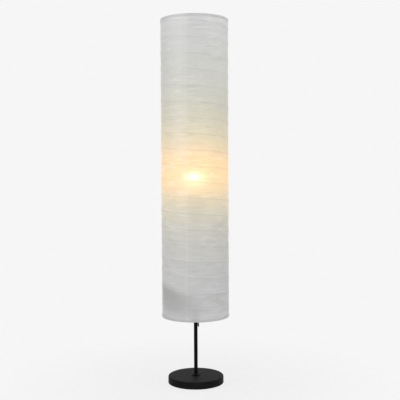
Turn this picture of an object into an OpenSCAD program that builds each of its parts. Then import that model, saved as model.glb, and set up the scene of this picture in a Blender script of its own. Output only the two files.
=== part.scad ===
// Paper lantern floor lamp: a weighted round foot, a slim pole in two lengths, and a tall
// drum of paper on one spiral of wire. The lamp stands on z = 0 with its pole on the Z axis,
// +Z up. The side with the paper's lap seam is the front, -Y. Lengths are in millimetres.

/* [Shade] */
// Outer diameter of the paper shade
shade_d = 218; // [190:1:250]
// Height of the shade's lower edge above the floor
shade_low_z = 218; // [205:1:260]
// Height of the shade's upper edge above the floor
shade_top_z = 1170; // [1120:1:1240]
// Thickness of the paper
paper_t = 0.3; // [0.2:0.05:0.5]
// Fall of the rib wire in one turn
rib_pitch = 49.5; // [42:0.5:70]
// Diameter of the rib wire
rib_wire_d = 1.4; // [1:0.1:1.8]
// Diameter of the wire of the two end rings and their crossbars
ring_wire_d = 3; // [2.5:0.25:4]

/* [Pole] */
// Outer diameter of the pole
pole_d = 12; // [11.6:0.1:14]
// Height of the joint between the two lengths of pole
pole_joint_z = 290; // [260:5:330]
// Height of the upper end of the pole, which carries the lampholder
pole_top_z = 543; // [520:1:640]
// Diameter of each insulated lead inside the pole
lead_d = 2; // [1.6:0.1:2.2]

/* [Foot] */
// Diameter of the foot
foot_d = 180; // [160:1:240]
// Height of the foot's flat top above the floor
foot_h = 23.5; // [22:0.5:30]
// Radius of the foot's rolled upper edge
foot_edge_r = 4; // [2:0.5:6]
// Sheet thickness of the foot's cover
cover_t = 1.2; // [0.8:0.1:1.5]
// Diameter of the cast weight inside the foot
weight_d = 160; // [150:1:160]
// Bore of the cord gland in the rear of the foot
gland_bore_d = 7; // [5:0.5:8]

/* [Lampholder and bulb] */
// Diameter of the bulb's globe
globe_d = 60; // [45:1:70]
// Length of the bulb from its contact to its crown
bulb_len = 107; // [100:1:115]
// Outer diameter of the bulb's screw cap
cap_d = 26.2; // [26:0.1:26.4]
// Outer diameter of the lampholder
holder_d = 39; // [37:0.5:42]

/* [Shade support] */
// Distance of each support wire from the pole's axis
harp_x = 46; // [38:1:60]
// Diameter of the support wires
harp_wire_d = 3.2; // [2.5:0.1:4]
// Drop of the top crossbar's hub below the shade's top ring
hub_drop = 16.5; // [14:0.5:30]

/* [Sliding clamp] */
// Outer diameter of the collar that slides on the pole
collar_d = 16; // [15:0.5:24]
// Length of the collar
collar_len = 22; // [18:1:30]
// Height of the clamp lever's pin above the collar's lower end
pin_rise = 2.5; // [2:0.25:5]
// Length of the clamp lever from its pin to the end of its thumb pad
lever_len = 21.5; // [14:0.5:30]

/* [Hidden] */
$fn = 64;

BLACK = [0.09, 0.09, 0.1];
STEEL = [0.62, 0.63, 0.65];
BRASS = [0.78, 0.62, 0.3];
PAPER = [0.95, 0.93, 0.88];
IVORY = [0.9, 0.88, 0.82];
IRON = [0.3, 0.3, 0.31];
OPAL = [1, 0.97, 0.88];
CLEAR = [1, 1, 1];

eps = 0.01;
over = 1;                       // how far a cutter stands out of what it cuts
run_gap = 0.05;                 // radial clearance of threads and running fits
m10_r = 4.95;                   // outside of the hollow threaded nipples
m10_bore_r = 3.5;               // their bore
m10_hole_r = m10_r + 0.15;      // clearance hole for them
nut_t = 3.5;
nut_across_r = 8.1;             // corner radius of a 14 mm hexagon

// Foot, from the floor up
pad_r = 8;
pad_t = 3;
pad_pcd_r = 74;
plate_t = 1.5;
plate_gap = 0.5;
skirt_z = 1.5;
plate_top_z = pad_t + plate_t;
weight_top_z = foot_h - cover_t;
web_t = 5.3;
web_z = weight_top_z - web_t;
washer_r = 9;
washer_t = 1.5;
counterbore_r = 16;
foot_nut_z = web_z - washer_t - nut_t;
foot_nipple_z = foot_nut_z - 0.5;
foot_nipple_len = 32;
collar_foot_r = 12.5;
collar_foot_h = 3;
collar_foot_edge_r = 1.2;
channel_w = 26;
channel_h = 16;
plate_screw_pcd_r = 60;
plate_screw_count = 3;
plate_hole_r = 2.25;
screw_r = 1.95;
screw_head_r = 3.9;
screw_head_t = 1.6;
screw_depth = 8;
gland_z = 12.5;
gland_flange_r = 7.5;
gland_flange_t = 1.2;
gland_neck_r = 6;
gland_neck_len = 5.3;

// Pole
pole_r = pole_d / 2;
pole_bore_r = m10_r + run_gap;
coupler_half = 18;
coupler_bore_r = 3.6;
holder_nipple_in = 12;
holder_nipple_out = 10;

// Leads: a straight run in the foot's channel, a bend, and the rise inside the pole
lead_r = lead_d / 2;
lead_x = 1.3;
lead_z = 8;
lead_bend_r = 5;
lead_splay = 5;
lead_end_y = 46;
block_front_y = 42;
block_size = [22, 14, 8];
block_terminal_x = lead_x + lead_end_y * sin(lead_splay) - 0.15;
block_hole_r = lead_r + 0.6;
block_screw_y = block_front_y + 3;
block_screw_z = lead_z + lead_r;
block_screw_sunk = 0.5;

// Lampholder, measured from the bulb's lowest point
globe_r = globe_d / 2;
bulb_z = pole_top_z + 42;
globe_z = bulb_z + bulb_len - globe_r;
holder_r = holder_d / 2;
holder_wall = 1.8;
holder_floor = 2;
holder_split_z = bulb_z - 20;
holder_top_z = bulb_z + 26;
holder_bore_r = 16;
holder_thread_r = 18.2;
flange_r = 22;
flange_z = bulb_z - 6;
saddle_z = bulb_z - 2;
saddle_t = 1.5;
ring_nut_h = 7.5;
ring_nut_r = 24;
grip_deg = 30;                  // pitch, radius and centre of the ring nut's finger grooves
grip_r = 1.4;
grip_pcd_r = ring_nut_r + 0.6;
shell_t = 0.6;
shell_r = cap_d / 2 + 0.1;
shell_z = bulb_z - 1.5;
shell_len = 24;
block_z = bulb_z - 19;
contact_r = 3;
contact_gap = 0.05;
clamp_screw_r = 1.5;
clamp_screw_head_r = 2.7;
clamp_screw_z = block_z + 4.5;
clamp_head_x = 12;
clamp_head_t = 2;
clamp_above = 2;                // the leads end this far above the clamp screws

// Bulb
neck_r = 12.2;
glass_t = 0.6;
cap_z = bulb_z + 3;
cap_len = 21;
cap_t = 0.4;
tip_r = 4.5;
tip_t = 1;
insulator_low_r = 5;
insulator_in = 2;
glass_low_z = cap_z + 15;
neck_z = cap_z + cap_len + 6;
stem_r = 4;
stem_top_z = globe_z - 22;
filament_x = 2.8;
filament_wire_r = 0.8;
filament_arc = 200;

// Shade support
ring_wire_r = ring_wire_d / 2;
harp_wire_r = harp_wire_d / 2;
shade_r = shade_d / 2;
ring_clear = 0.5;
ring_r = shade_r - paper_t - ring_clear - ring_wire_r;
top_ring_z = shade_top_z - ring_wire_r - 0.5;
hub_z = top_ring_z - hub_drop;
hub_r = 8;
hub_t = ring_wire_d;
bar_bend_r = 5;
bar_drop_x = 25;
stud_r = 2.95;
bridge_r = 9;
bridge_h = 8;
bridge_top_z = hub_z - hub_t / 2;
bridge_socket = 4;
stud_hole_r = stud_r + 0.15;
harp_top_z = bridge_top_z - bridge_h / 2;
harp_bend_r = 10;
saddle_ear_w = 12;
saddle_r = 26;
saddle_ear_past = 2;
finial_r = 6;
finial_h = 7;
finial_rim = 1.5;
stud_sunk = 1;                  // the stud ends this far below the finial nut's top
stud_len = hub_t + finial_h - stud_sunk;

// Sliding clamp
bottom_ring_z = shade_low_z + ring_wire_r;
collar_r = collar_d / 2;
collar_top_z = bottom_ring_z + ring_wire_r + 2;
collar_z = collar_top_z - collar_len;
bar_socket = 1.2;
ear_t = 2;
lever_w = 5.2;
lever_gap = 0.3;
pin_r = 1.25;
pin_x = collar_r + 1.2;
pin_z = collar_z + pin_rise;
ear_top_z = pin_z + 3.5;
ear_x = pin_x + 2.6;
slot_above = 0.5;
boss_r = 2.8;
lever_half_t = 1.3;
knee = [pin_x - 1.5, -8];
thumb_half_t = 2.1;             // half thickness of the pad the thumb pushes
thumb_x = pole_r + 0.2 + thumb_half_t;
thumb_top = [thumb_x, knee[1] - 2.5];
thumb_low = [thumb_x + 0.3, -lever_len + thumb_half_t];

// Rib wire: one unbroken tube of six sides, wound left-handed down from the left of the
// top ring to the bottom ring. Each end turns down and runs straight on to its ring.
rib_r = rib_wire_d / 2;
rib_path_r = shade_r - paper_t - 0.1 - rib_r;
rib_sides = 6;
rib_steps_per_turn = 24;
rib_start_deg = 167;
rib_end_clear = 0.05;
rib_bend_deg = 1.4;
rib_bend_drop = 1.7;
rib_top_z = top_ring_z - ring_wire_r - rib_end_clear;
rib_low_z = bottom_ring_z + ring_wire_r + rib_end_clear;
helix_top_z = rib_top_z - rib_wire_d - rib_bend_drop;
helix_low_z = rib_low_z + rib_wire_d + rib_bend_drop;
rib_turns = (helix_top_z - helix_low_z) / rib_pitch;
rib_steps = round(rib_turns * rib_steps_per_turn);
helix_start_deg = rib_start_deg + rib_bend_deg;
helix_end_deg = helix_start_deg + 360 * rib_turns;

// Each path point is [radius, angle, height]
function bend_in() = [
    [ring_r, rib_start_deg, rib_top_z],
    for (t = [0 : 30 : 60])
        [
            ring_r,
            rib_start_deg + rib_bend_deg * (1 - cos(t)),
            rib_top_z - rib_wire_d - rib_bend_drop * sin(t)
        ]
];
function helix() = [
    for (i = [0 : rib_steps])
        let (s = i / rib_steps)
        [
            i == 0 || i == rib_steps ? ring_r : rib_path_r,
            helix_start_deg + (helix_end_deg - helix_start_deg) * s,
            helix_top_z + (helix_low_z - helix_top_z) * s
        ]
];
function bend_out() = [
    for (t = [30 : 30 : 90])
        [
            ring_r,
            helix_end_deg + rib_bend_deg * sin(t),
            helix_low_z - rib_bend_drop * (1 - cos(t))
        ],
    [ring_r, helix_end_deg + rib_bend_deg, rib_low_z]
];
function in_space(p) = [p[0] * cos(p[1]), p[0] * sin(p[1]), p[2]];
function unit(v) = v / norm(v);
rib_route = concat(bend_in(), helix(), bend_out());
rib_points = [for (p = rib_route) in_space(p)];
rib_last = len(rib_points) - 1;
function tangent(i) = unit(rib_points[min(i + 1, rib_last)] - rib_points[max(i - 1, 0)]);
function end_tangent(i) = i < 1 || i > rib_last - 1 ? [0, 0, -1] : tangent(i);
function rib_ring(i) =
    let (
        t = end_tangent(i),
        out = in_space([1, rib_route[i][1], 0]),
        a = unit(out - (out * t) * t),
        b = cross(t, a)
    )
    [
        for (k = [0 : rib_sides - 1])
            let (turn = k * 360 / rib_sides)
            rib_points[i] + rib_r * (cos(turn) * a + sin(turn) * b)
    ];
function tube_faces(rings, sides) = concat(
    [for (k = [1 : sides - 2]) [0, k, k + 1]],
    [for (i = [0 : rings - 2]) for (k = [0 : sides - 1])
        let (n = (k + 1) % sides) [i * sides + k, (i + 1) * sides + k, (i + 1) * sides + n]],
    [for (i = [0 : rings - 2]) for (k = [0 : sides - 1])
        let (n = (k + 1) % sides) [i * sides + k, (i + 1) * sides + n, i * sides + n]],
    [for (k = [1 : sides - 2]) let (e = (rings - 1) * sides) [e, e + k + 1, e + k]]
);
quarter_turn = rib_steps_per_turn / 4;
rib_gap = min([
    for (i = [0 : rib_last - quarter_turn])
        for (j = [i + quarter_turn : min(i + 2 * rib_steps_per_turn, rib_last)])
            norm(rib_points[i] - rib_points[j])
]) - rib_wire_d;
echo("least gap of the rib wire to itself, mm", rib_gap);
echo("turns of the rib wire", rib_turns);

// ---- shared shapes ----

module tube(r, bore_r, h) {
    difference() {
        cylinder(r = r, h = h);
        translate([0, 0, -over]) cylinder(r = bore_r, h = h + 2 * over);
    }
}

module hex_nut(bore_r) {
    difference() {
        cylinder(r = nut_across_r, h = nut_t, $fn = 6);
        translate([0, 0, -over]) cylinder(r = bore_r, h = nut_t + 2 * over);
    }
}

module wire_ring(z) {
    translate([0, 0, z]) rotate_extrude() translate([ring_r, 0]) circle(r = ring_wire_r);
}

// A rod of radius r along +X from x0 to x1
module rod_x(r, x0, x1) {
    translate([x0, 0, 0]) rotate([0, 90, 0]) cylinder(r = r, h = x1 - x0);
}

// A quarter bend in the XZ plane, centred on the origin, in the quadrant that starts at angle a
module bend_xz(bend_r, r, a) {
    rotate([90, 0, 0]) rotate([0, 0, a]) rotate_extrude(angle = 90) translate([bend_r, 0])
        circle(r = r);
}

// ---- foot ----

module foot_pads() {
    color(BLACK) for (a = [45 : 90 : 315]) rotate([0, 0, a]) translate([pad_pcd_r, 0, 0])
        cylinder(r = pad_r, h = pad_t);
}

module plate_screw_places() {
    for (i = [0 : plate_screw_count - 1]) rotate([0, 0, i * 360 / plate_screw_count])
        translate([plate_screw_pcd_r, 0, 0]) children();
}

module bottom_plate() {
    color(BLACK) difference() {
        translate([0, 0, pad_t]) cylinder(r = foot_d / 2 - cover_t - plate_gap, h = plate_t);
        plate_screw_places() translate([0, 0, pad_t - over])
            cylinder(r = plate_hole_r, h = plate_t + 2 * over);
    }
}

module bottom_plate_screws() {
    color(STEEL) plate_screw_places() {
        translate([0, 0, pad_t - screw_head_t]) cylinder(r = screw_head_r, h = screw_head_t);
        translate([0, 0, pad_t]) cylinder(r = screw_r, h = plate_t + screw_depth);
    }
}

module cast_weight() {
    color(IRON) difference() {
        translate([0, 0, plate_top_z]) cylinder(r = weight_d / 2, h = weight_top_z - plate_top_z);
        cylinder(r = counterbore_r, h = web_z);
        cylinder(r = m10_hole_r, h = foot_h);
        translate([-channel_w / 2, 0, 0]) cube([channel_w, foot_d / 2, channel_h]);
        plate_screw_places() cylinder(r = screw_r + run_gap, h = plate_top_z + screw_depth + over);
    }
}

// Half section of a disc with a rolled upper edge
module rolled_section(r, h, edge_r) {
    square([r, h - edge_r]);
    square([r - edge_r, h]);
    translate([r - edge_r, h - edge_r]) circle(r = edge_r);
}

module foot_cover() {
    inner_edge_r = foot_edge_r - cover_t;
    color(BLACK) difference() {
        translate([0, 0, skirt_z]) rotate_extrude() difference() {
            rolled_section(foot_d / 2, foot_h - skirt_z, foot_edge_r);
            translate([0, -eps])
                rolled_section(foot_d / 2 - cover_t, foot_h - skirt_z - cover_t + eps, inner_edge_r);
        }
        cylinder(r = m10_hole_r, h = foot_h + over);
        translate([0, foot_d / 2 + over, gland_z]) rotate([90, 0, 0])
            cylinder(r = gland_neck_r, h = gland_neck_len);
    }
}

module cord_gland() {
    face_y = foot_d / 2 + gland_flange_t;
    color(BLACK) difference() {
        union() {
            translate([0, face_y, gland_z]) rotate([90, 0, 0])
                cylinder(r = gland_neck_r, h = gland_flange_t + gland_neck_len);
            difference() {
                translate([0, face_y, gland_z]) rotate([90, 0, 0])
                    cylinder(r = gland_flange_r, h = gland_flange_t + over);
                cylinder(r = foot_d / 2, h = foot_h);
            }
        }
        translate([0, face_y + over, gland_z]) rotate([90, 0, 0])
            cylinder(r = gland_bore_d / 2, h = gland_flange_t + gland_neck_len + 2 * over);
    }
}

module terminal_places() {
    for (side = [-1, 1]) translate([side * block_terminal_x, 0, 0]) children();
}

module terminal_block() {
    color(IVORY) difference() {
        translate([-block_size[0] / 2, block_front_y, plate_top_z]) cube(block_size);
        terminal_places() {
            translate([0, block_front_y - over, lead_z]) rotate([-90, 0, 0])
                cylinder(r = block_hole_r, h = block_size[1] + 2 * over);
            translate([0, block_screw_y, block_screw_z]) cylinder(r = screw_r, h = block_size[2]);
        }
    }
}

module terminal_screws() {
    screw_len = plate_top_z + block_size[2] - block_screw_z - block_screw_sunk;
    color(BRASS) terminal_places() translate([0, block_screw_y, block_screw_z + run_gap])
        cylinder(r = screw_r - run_gap, h = screw_len);
}

module foot_nipple() {
    color(STEEL) translate([0, 0, foot_nipple_z]) tube(m10_r, m10_bore_r, foot_nipple_len);
}

module foot_washer() {
    color(STEEL) translate([0, 0, web_z - washer_t]) tube(washer_r, m10_hole_r, washer_t);
}

module foot_nut() {
    color(STEEL) translate([0, 0, foot_nut_z]) hex_nut(m10_r + run_gap);
}

module foot_collar() {
    color(BLACK) translate([0, 0, foot_h]) rotate_extrude() difference() {
        rolled_section(collar_foot_r, collar_foot_h, collar_foot_edge_r);
        translate([0, -over]) square([pole_r + run_gap, collar_foot_h + 2 * over]);
    }
}

// ---- pole ----

module lower_pole() {
    color(BLACK) translate([0, 0, foot_h]) tube(pole_r, pole_bore_r, pole_joint_z - foot_h);
}

module pole_coupler() {
    color(STEEL) translate([0, 0, pole_joint_z - coupler_half])
        tube(m10_r, coupler_bore_r, 2 * coupler_half);
}

module upper_pole() {
    color(BLACK) translate([0, 0, pole_joint_z]) tube(pole_r, pole_bore_r, pole_top_z - pole_joint_z);
}

// side is +1 or -1. The lead leaves the terminal block, bends up and rises inside the pole.
module lead(side) {
    rise_z = lead_z + lead_bend_r;
    translate([side * lead_x, 0, 0]) rotate([0, 0, -side * lead_splay]) {
        translate([0, 0, rise_z]) cylinder(r = lead_r, h = clamp_screw_z + clamp_above - rise_z);
        translate([0, lead_bend_r, rise_z]) rotate([0, 0, 90]) bend_xz(lead_bend_r, lead_r, 180);
        translate([0, lead_bend_r, lead_z]) rotate([-90, 0, 0])
            cylinder(r = lead_r, h = lead_end_y - lead_bend_r);
    }
}

module lead_live() {
    color("saddlebrown") lead(1);
}

module lead_neutral() {
    color("steelblue") lead(-1);
}

// ---- lampholder ----

module holder_nipple() {
    color(STEEL) translate([0, 0, pole_top_z - holder_nipple_in])
        tube(m10_r, m10_bore_r, holder_nipple_in + holder_nipple_out);
}

module holder_nut() {
    color(STEEL) translate([0, 0, pole_top_z + holder_floor]) hex_nut(m10_r + run_gap);
}

module holder_cap() {
    color(BLACK) translate([0, 0, pole_top_z]) difference() {
        cylinder(r = holder_r, h = holder_split_z - pole_top_z);
        translate([0, 0, holder_floor]) cylinder(r = holder_r - holder_wall, h = holder_split_z);
        translate([0, 0, -over]) cylinder(r = m10_hole_r, h = holder_floor + 2 * over);
    }
}

module holder_body() {
    color(BLACK) difference() {
        union() {
            translate([0, 0, holder_split_z]) cylinder(r = holder_r, h = flange_z - holder_split_z);
            translate([0, 0, flange_z]) cylinder(r = flange_r, h = saddle_z - flange_z);
            translate([0, 0, saddle_z]) cylinder(r = holder_thread_r, h = holder_top_z - saddle_z);
        }
        translate([0, 0, holder_split_z - over])
            cylinder(r = holder_bore_r, h = holder_top_z - holder_split_z + 2 * over);
    }
}

module contact_block() {
    color(IVORY) difference() {
        translate([0, 0, block_z]) cylinder(r = holder_bore_r - run_gap, h = shell_z - block_z);
        for (side = [-1, 1]) {
            translate([side * lead_x, 0, block_z - over])
                cylinder(r = lead_r + 0.1, h = clamp_screw_z + clamp_above + 0.1 - block_z + over);
            translate([0, 0, clamp_screw_z]) rotate([0, 0, side < 0 ? 180 : 0]) {
                rod_x(clamp_screw_r + run_gap, lead_x, holder_bore_r + over);
                rod_x(clamp_screw_head_r + 0.2, clamp_head_x, holder_bore_r + over);
            }
        }
    }
}

module centre_contact() {
    color(BRASS) translate([0, 0, shell_z])
        cylinder(r = contact_r, h = bulb_z - shell_z - contact_gap);
}

module screw_shell() {
    color(BRASS) translate([0, 0, shell_z]) tube(shell_r + shell_t, shell_r, shell_len);
}

module holder_screws() {
    color(BRASS) for (turn = [0, 180]) translate([0, 0, clamp_screw_z]) rotate([0, 0, turn]) {
        rod_x(clamp_screw_r, lead_x + lead_r + run_gap, clamp_head_x + eps);
        rod_x(clamp_screw_head_r, clamp_head_x, clamp_head_x + clamp_head_t);
    }
}

module shade_ring_nut() {
    color(BLACK) translate([0, 0, saddle_z + saddle_t]) difference() {
        cylinder(r = ring_nut_r, h = ring_nut_h);
        translate([0, 0, -over]) cylinder(r = holder_thread_r + run_gap, h = ring_nut_h + 2 * over);
        for (a = [0 : grip_deg : 359]) rotate([0, 0, a]) translate([grip_pcd_r, 0, -over])
            cylinder(r = grip_r, h = ring_nut_h + 2 * over);
    }
}

// ---- shade support ----

module harp_saddle() {
    ear_len = harp_x + harp_wire_r + saddle_ear_past;
    color(STEEL) translate([0, 0, saddle_z]) linear_extrude(height = saddle_t) difference() {
        union() {
            circle(r = saddle_r);
            square([2 * ear_len, saddle_ear_w], center = true);
        }
        circle(r = holder_thread_r + 0.1);
    }
}

module harp_wire() {
    foot_z = saddle_z + saddle_t;
    bend_z = harp_top_z - harp_bend_r;
    translate([harp_x, 0, foot_z]) cylinder(r = harp_wire_r, h = bend_z - foot_z);
    translate([harp_x - harp_bend_r, 0, bend_z]) bend_xz(harp_bend_r, harp_wire_r, 0);
    translate([0, 0, harp_top_z])
        rod_x(harp_wire_r, bridge_r - bridge_socket, harp_x - harp_bend_r);
}

module harp_wire_right() {
    color(STEEL) harp_wire();
}

module harp_wire_left() {
    color(STEEL) rotate([0, 0, 180]) harp_wire();
}

module harp_bridge() {
    color(STEEL) difference() {
        union() {
            translate([0, 0, bridge_top_z - bridge_h]) cylinder(r = bridge_r, h = bridge_h);
            translate([0, 0, bridge_top_z]) cylinder(r = stud_r, h = stud_len);
        }
        for (turn = [0, 180]) translate([0, 0, harp_top_z]) rotate([0, 0, turn])
            rod_x(harp_wire_r, bridge_r - bridge_socket, bridge_r + over);
    }
}

module top_crossbar_arm() {
    low_x = bar_drop_x - bar_bend_r;
    high_x = bar_drop_x + bar_bend_r;
    translate([0, 0, hub_z]) rod_x(ring_wire_r, stud_r + 1, low_x);
    translate([low_x, 0, hub_z + bar_bend_r]) bend_xz(bar_bend_r, ring_wire_r, 270);
    translate([bar_drop_x, 0, hub_z + bar_bend_r])
        cylinder(r = ring_wire_r, h = hub_drop - 2 * bar_bend_r);
    translate([high_x, 0, top_ring_z - bar_bend_r]) bend_xz(bar_bend_r, ring_wire_r, 90);
    translate([0, 0, top_ring_z]) rod_x(ring_wire_r, high_x, ring_r);
}

module top_crossbar() {
    color(STEEL) difference() {
        union() {
            top_crossbar_arm();
            rotate([0, 0, 180]) top_crossbar_arm();
            translate([0, 0, hub_z - hub_t / 2]) cylinder(r = hub_r, h = hub_t);
        }
        translate([0, 0, hub_z - hub_t]) cylinder(r = stud_hole_r, h = 2 * hub_t);
        wire_ring(top_ring_z);
    }
}

module finial_nut() {
    color(STEEL) translate([0, 0, hub_z + hub_t / 2]) difference() {
        union() {
            cylinder(r = finial_r, h = finial_h, $fn = 12);
            cylinder(r = finial_r + finial_rim, h = finial_rim);
        }
        translate([0, 0, -over]) cylinder(r = stud_r + run_gap, h = finial_h + 2 * over);
    }
}

module top_ring() {
    color(STEEL) wire_ring(top_ring_z);
}

module rib_wire() {
    color(STEEL) polyhedron(
        points = [for (i = [0 : rib_last]) each rib_ring(i)],
        faces = tube_faces(rib_last + 1, rib_sides)
    );
}

module paper_shade() {
    color(PAPER) translate([0, 0, shade_low_z])
        tube(shade_r, shade_r - paper_t, shade_top_z - shade_low_z);
}

// ---- sliding clamp ----

module bottom_ring() {
    color(STEEL) wire_ring(bottom_ring_z);
}

module bottom_crossbar() {
    color(STEEL) difference() {
        for (turn = [0, 180]) translate([0, 0, bottom_ring_z]) rotate([0, 0, turn])
            rod_x(ring_wire_r, collar_r - bar_socket, ring_r);
        wire_ring(bottom_ring_z);
    }
}

// The collar grips the pole. Two ears on its right carry the lever's pin, and the lever's
// boss works through a slot in the wall between them.
module slide_collar() {
    slot_w = lever_w + 2 * lever_gap;
    ears_w = slot_w + 2 * ear_t;
    color(BLACK) difference() {
        union() {
            translate([0, 0, collar_z]) cylinder(r = collar_r, h = collar_len);
            translate([pole_r, -ears_w / 2, collar_z])
                cube([ear_x - pole_r, ears_w, ear_top_z - collar_z]);
        }
        translate([0, 0, collar_z - over]) cylinder(r = pole_r + run_gap, h = collar_len + 2 * over);
        translate([0, -slot_w / 2, collar_z - over])
            cube([ear_x + over, slot_w, ear_top_z + slot_above - collar_z + over]);
        translate([pin_x, ears_w / 2 + over, pin_z]) rotate([90, 0, 0])
            cylinder(r = pin_r, h = ears_w + 2 * over);
        for (turn = [0, 180]) translate([0, 0, bottom_ring_z]) rotate([0, 0, turn])
            rod_x(ring_wire_r, collar_r - bar_socket, collar_r + over);
    }
}

module lever_pin() {
    pin_len = lever_w + 2 * lever_gap + 2 * ear_t;
    color(STEEL) translate([pin_x, pin_len / 2, pin_z]) rotate([90, 0, 0])
        cylinder(r = pin_r, h = pin_len);
}

// A flat bar with round ends between two points of the lever's outline
module lever_bar(from, to, half_t) {
    reach = to - from;
    translate(from) rotate(atan2(reach[1], reach[0])) {
        circle(r = half_t);
        translate([0, -half_t]) square([norm(reach), 2 * half_t]);
        translate([norm(reach), 0]) circle(r = half_t);
    }
}

module clamp_lever() {
    color(BLACK) translate([0, lever_w / 2, pin_z]) rotate([90, 0, 0])
        linear_extrude(height = lever_w) difference() {
            union() {
                translate([pin_x, 0]) circle(r = boss_r);
                lever_bar([pin_x, 0], knee, lever_half_t);
                lever_bar(knee, thumb_top, lever_half_t);
                lever_bar(thumb_top, thumb_low, thumb_half_t);
            }
            translate([pin_x, 0]) circle(r = pin_r + run_gap);
        }
}

// ---- bulb ----

// Half section of the bulb's envelope, shrunk by inset: a neck, a cone and a globe that the
// cone meets at a tangent
module bulb_section(inset) {
    r = globe_r - inset;
    low_r = neck_r - inset;
    neck_drop = globe_z - neck_z;
    join_deg = 90 - atan2(low_r, neck_drop) - acos(r / norm([low_r, neck_drop]));
    join = [r * cos(join_deg), globe_z - r * sin(join_deg)];
    intersection() {
        union() {
            translate([0, globe_z]) circle(r = r);
            polygon([[0, glass_low_z], [low_r, glass_low_z], [low_r, neck_z], join, [0, join[1]]]);
        }
        translate([0, glass_low_z]) square([globe_d, bulb_len]);
    }
}

module bulb_glass() {
    color(OPAL) rotate_extrude() difference() {
        bulb_section(0);
        difference() {
            bulb_section(glass_t);
            square([globe_d, glass_low_z + glass_t]);
        }
    }
}

module bulb_cap() {
    color(BRASS) translate([0, 0, cap_z]) tube(cap_d / 2, cap_d / 2 - cap_t, cap_len);
}

module bulb_insulator() {
    cap_bore_r = cap_d / 2 - cap_t;
    low_z = bulb_z + tip_t;
    color(BLACK) {
        translate([0, 0, low_z]) cylinder(r1 = insulator_low_r, r2 = cap_bore_r, h = cap_z - low_z);
        translate([0, 0, cap_z]) cylinder(r = cap_bore_r, h = insulator_in);
    }
}

module bulb_contact() {
    color(STEEL) translate([0, 0, bulb_z]) cylinder(r = tip_r, h = tip_t);
}

module bulb_stem() {
    stem_z = glass_low_z + glass_t;
    color(CLEAR) translate([0, 0, stem_z]) cylinder(r = stem_r, h = stem_top_z - stem_z);
}

module bulb_filament() {
    support_h = globe_z - stem_top_z;
    color(BRASS) translate([0, 0, stem_top_z]) {
        for (side = [-1, 1]) translate([side * filament_x, 0, 0])
            cylinder(r = filament_wire_r, h = support_h);
        translate([0, 0, support_h]) rotate_extrude(angle = filament_arc)
            translate([filament_x, 0]) circle(r = filament_wire_r);
    }
}

foot_pads();
bottom_plate();
bottom_plate_screws();
cast_weight();
foot_cover();
cord_gland();
terminal_block();
terminal_screws();
foot_nipple();
foot_washer();
foot_nut();
foot_collar();
lower_pole();
pole_coupler();
upper_pole();
lead_live();
lead_neutral();
holder_nipple();
holder_nut();
holder_cap();
holder_body();
contact_block();
centre_contact();
screw_shell();
holder_screws();
shade_ring_nut();
harp_saddle();
harp_wire_left();
harp_wire_right();
harp_bridge();
top_crossbar();
finial_nut();
top_ring();
rib_wire();
paper_shade();
bottom_ring();
bottom_crossbar();
slide_collar();
lever_pin();
clamp_lever();
bulb_glass();
bulb_cap();
bulb_insulator();
bulb_contact();
bulb_stem();
bulb_filament();
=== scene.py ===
"""Paper lantern floor lamp: finishes, paper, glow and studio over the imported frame.
Metres, +Z up, front -Y."""

import math

import bmesh
import bpy
import numpy as np
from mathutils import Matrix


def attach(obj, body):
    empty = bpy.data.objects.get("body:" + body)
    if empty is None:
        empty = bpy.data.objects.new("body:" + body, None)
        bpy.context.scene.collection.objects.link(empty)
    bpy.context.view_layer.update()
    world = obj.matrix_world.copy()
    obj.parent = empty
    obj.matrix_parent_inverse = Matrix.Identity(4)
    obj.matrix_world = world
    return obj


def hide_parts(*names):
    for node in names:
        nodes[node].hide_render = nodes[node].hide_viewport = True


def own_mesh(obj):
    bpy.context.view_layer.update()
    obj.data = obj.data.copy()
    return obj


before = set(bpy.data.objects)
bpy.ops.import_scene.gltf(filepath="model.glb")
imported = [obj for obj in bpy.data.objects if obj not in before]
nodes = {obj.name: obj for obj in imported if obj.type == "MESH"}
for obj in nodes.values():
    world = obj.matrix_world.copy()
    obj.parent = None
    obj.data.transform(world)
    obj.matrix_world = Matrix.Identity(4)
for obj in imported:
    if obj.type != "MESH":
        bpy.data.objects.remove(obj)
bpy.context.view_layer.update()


# Camera: a long lens 2.35 m in front of the lamp, a little above its middle, tipped down
# by two degrees and leaning a quarter of a degree.
LENS_MM, FILM_MM = 65.48, 36.0
CAMERA_PLACE = (0.0164, -2.3500, 0.6861)
TIPPED_DOWN, LEANING = 0.0391, 0.00485
camera_data = bpy.data.cameras.new("camera")
camera_data.lens = LENS_MM
camera_data.sensor_width = FILM_MM
camera_data.sensor_fit = "HORIZONTAL"
camera = bpy.data.objects.new("camera", camera_data)
camera.location = CAMERA_PLACE
camera.rotation_euler = (math.radians(90.0) - TIPPED_DOWN, LEANING, 0.0)
bpy.context.scene.collection.objects.link(camera)
bpy.context.scene.camera = camera
bpy.context.scene.view_settings.view_transform = "Standard"


# Studio: a pale floor that fades into a pale surround. Only the eye sees them as pale as
# that. What lights the lamp is a soft grey sky and two softboxes, overhead and in front.
PALE = (0.922, 0.922, 0.922, 1.0)
FLOOR_COLOUR = (0.75, 0.75, 0.75, 1.0)
FLOOR_REACH = 9.0
SHADOW_SHARE = 0.16
FADE_FROM, FADE_TO = 0.16, 0.75
SKY_STRENGTH = 0.685
OVERHEAD_WATTS = 11.8
FRONT_WATTS = 7.9


def wire(tree, kind, feeds=(), **settings):
    """Adds a shader node. Each named input takes a value, or the output that feeds it."""
    made = tree.nodes.new("ShaderNode" + kind)
    for key, value in settings.items():
        setattr(made, key, value)
    for key, value in dict(feeds).items():
        if isinstance(value, bpy.types.NodeSocket):
            tree.links.new(value, made.inputs[key])
        else:
            made.inputs[key].default_value = value
    return made


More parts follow.
